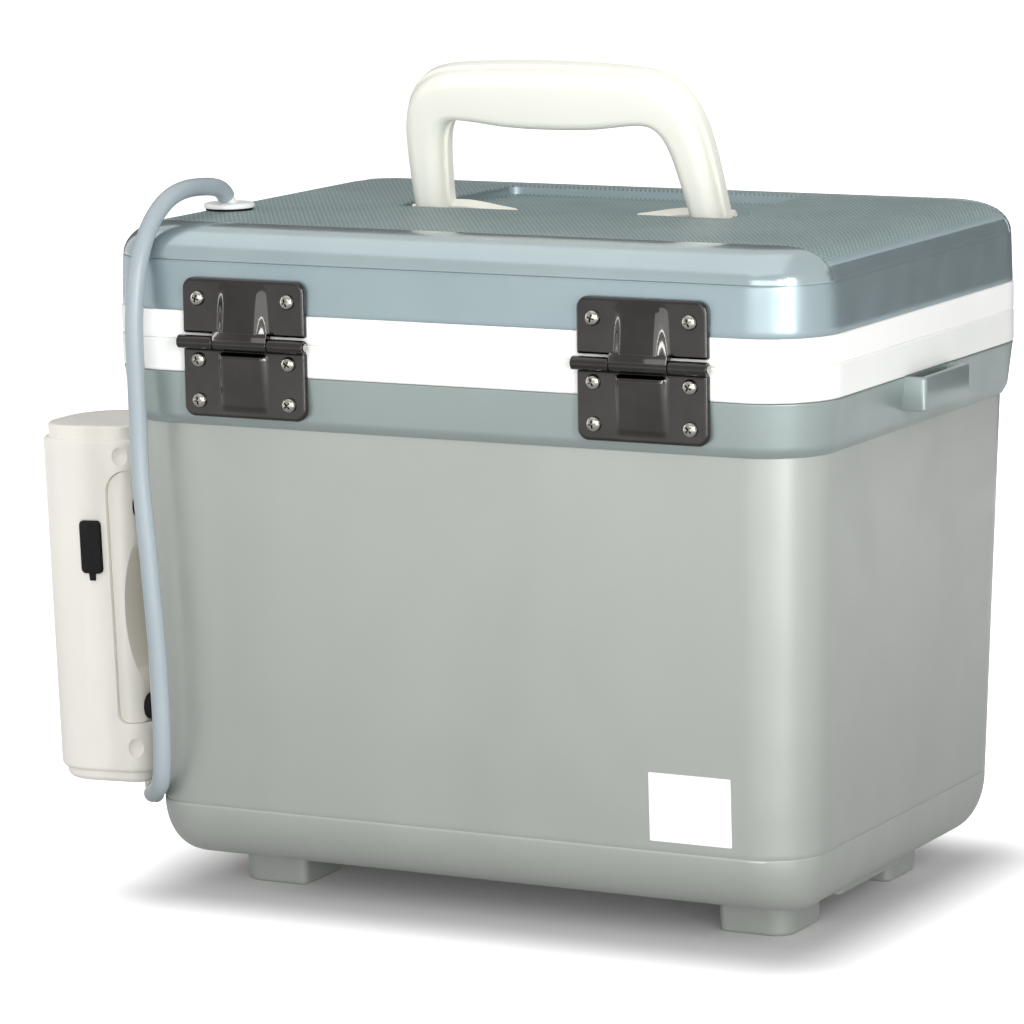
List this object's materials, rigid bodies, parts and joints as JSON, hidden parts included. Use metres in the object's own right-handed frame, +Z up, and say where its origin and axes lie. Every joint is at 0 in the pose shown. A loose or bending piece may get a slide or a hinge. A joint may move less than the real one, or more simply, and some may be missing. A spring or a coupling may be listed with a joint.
{
  "type": "aerated bait bucket",
  "caption": "Insulated box with a hinged lid, folding carry handle and snap latches, and an air pump hung on its side that feeds an air stone through a hose.",
  "frame": {"origin": "on the floor the box stands on, in the middle of its four feet and under the middle of the box", "axes": "+Z up; +X to the right as seen from the hinge side, away from the air pump; +Y from the hinge side to the latch side"},
  "size_m": [0.3896, 0.2374, 0.3231],
  "materials": {
    "body_pearl": "pearl, satin gloss",
    "collar_pearl": "translucent blue-grey pearl",
    "lid_pearl": "translucent blue-grey pearl, textured top",
    "tub_white": "smooth",
    "trim_white": "smooth",
    "foam": "closed-cell foam",
    "pin_steel": "ground",
    "screw_chrome": "polished",
    "dark_nickel": "polished dark nickel",
    "hose_silicone": "milky translucent",
    "pump_white": "satin",
    "black_rubber": "matte",
    "motor_metal": "cast",
    "battery_wrap": "shrink wrap",
    "circuit_green": "solder mask",
    "socket_metal": "plated",
    "light_lens": "clear",
    "gasket_rubber": "soft",
    "grommet_white": "smooth",
    "stone": "sintered grit",
    "handle_white": "satin, warm white",
    "button_grey": "satin"
  },
  "bodies": {
    "box": {"outer_shell": "body_pearl", "rim_collar": "collar_pearl", "inner_tub": "tub_white", "box_foam": "foam", "hinge_lower_leaf_left": "dark_nickel", "hinge_lower_leaf_right": "dark_nickel", "hinge_pins": "pin_steel", "box_hinge_screws": "screw_chrome", "latch_keeper_left": "dark_nickel", "latch_keeper_right": "dark_nickel", "latch_keeper_screws": "screw_chrome", "air_hose": "hose_silicone", "pump_housing": "pump_white", "pump_rear_cover": "pump_white", "pump_top_cap": "pump_white", "pump_bottom_cap": "pump_white", "pump_rubber_pads": "black_rubber", "pump_hanger": "pump_white", "hanger_screws": "screw_chrome", "hanger_wall_pad": "black_rubber", "pump_outlet_elbow": "pump_white", "air_motor": "motor_metal", "battery_cell": "battery_wrap", "circuit_board": "circuit_green", "charge_socket": "socket_metal", "status_light": "light_lens"},
    "lid": {"lid_cover": "lid_pearl", "lid_liner": "trim_white", "lid_foam": "foam", "lid_gasket": "gasket_rubber", "hinge_upper_leaf_left": "dark_nickel", "hinge_upper_leaf_right": "dark_nickel", "lid_hinge_screws": "screw_chrome", "latch_base_left": "dark_nickel", "latch_base_right": "dark_nickel", "latch_pins": "pin_steel", "latch_base_screws": "screw_chrome", "handle_pivot_pins": "pin_steel", "hose_grommet": "grommet_white", "grommet_washer": "black_rubber", "inner_hose": "hose_silicone", "air_stone": "stone"},
    "latch_hasp_left": {"latch_hasp_left": "dark_nickel"},
    "latch_hasp_right": {"latch_hasp_right": "dark_nickel"},
    "handle": {"handle_front_half": "handle_white", "handle_rear_half": "handle_white"},
    "power_button": {"power_button": "button_grey"},
    "charge_port_flap": {"charge_port_flap": "black_rubber"}
  },
  "joints": [
    {"name": "lid_hinge", "type": "hinge", "parent": "box", "child": "lid", "pos_m": [0, -0.111, 0.2212], "axis": [1, 0, 0], "range_deg": [0, 105], "deforming": ["air_hose"]},
    {"name": "handle_fold", "type": "hinge", "parent": "lid", "child": "handle", "pos_m": [0, 0.0055, 0.2613], "axis": [-1, 0, 0], "range_deg": [0, 109]},
    {"name": "latch_left", "type": "hinge", "parent": "lid", "child": "latch_hasp_left", "pos_m": [-0.072, 0.111, 0.235], "axis": [1, 0, 0], "range_deg": [0, 140]},
    {"name": "latch_right", "type": "hinge", "parent": "lid", "child": "latch_hasp_right", "pos_m": [0.072, 0.111, 0.235], "axis": [1, 0, 0], "range_deg": [0, 140]},
    {"name": "power_button_press", "type": "slide", "parent": "box", "child": "power_button", "axis": [0.9994, 0, 0.0349], "range_m": [0, 0.001], "stiffness_N_per_m": 400},
    {"name": "charge_flap_open", "type": "hinge", "parent": "box", "child": "charge_port_flap", "pos_m": [-0.19977, -0.03705, 0.13502], "axis": [-0.9994, 0, -0.0349], "range_deg": [0, 90]}
  ]
}
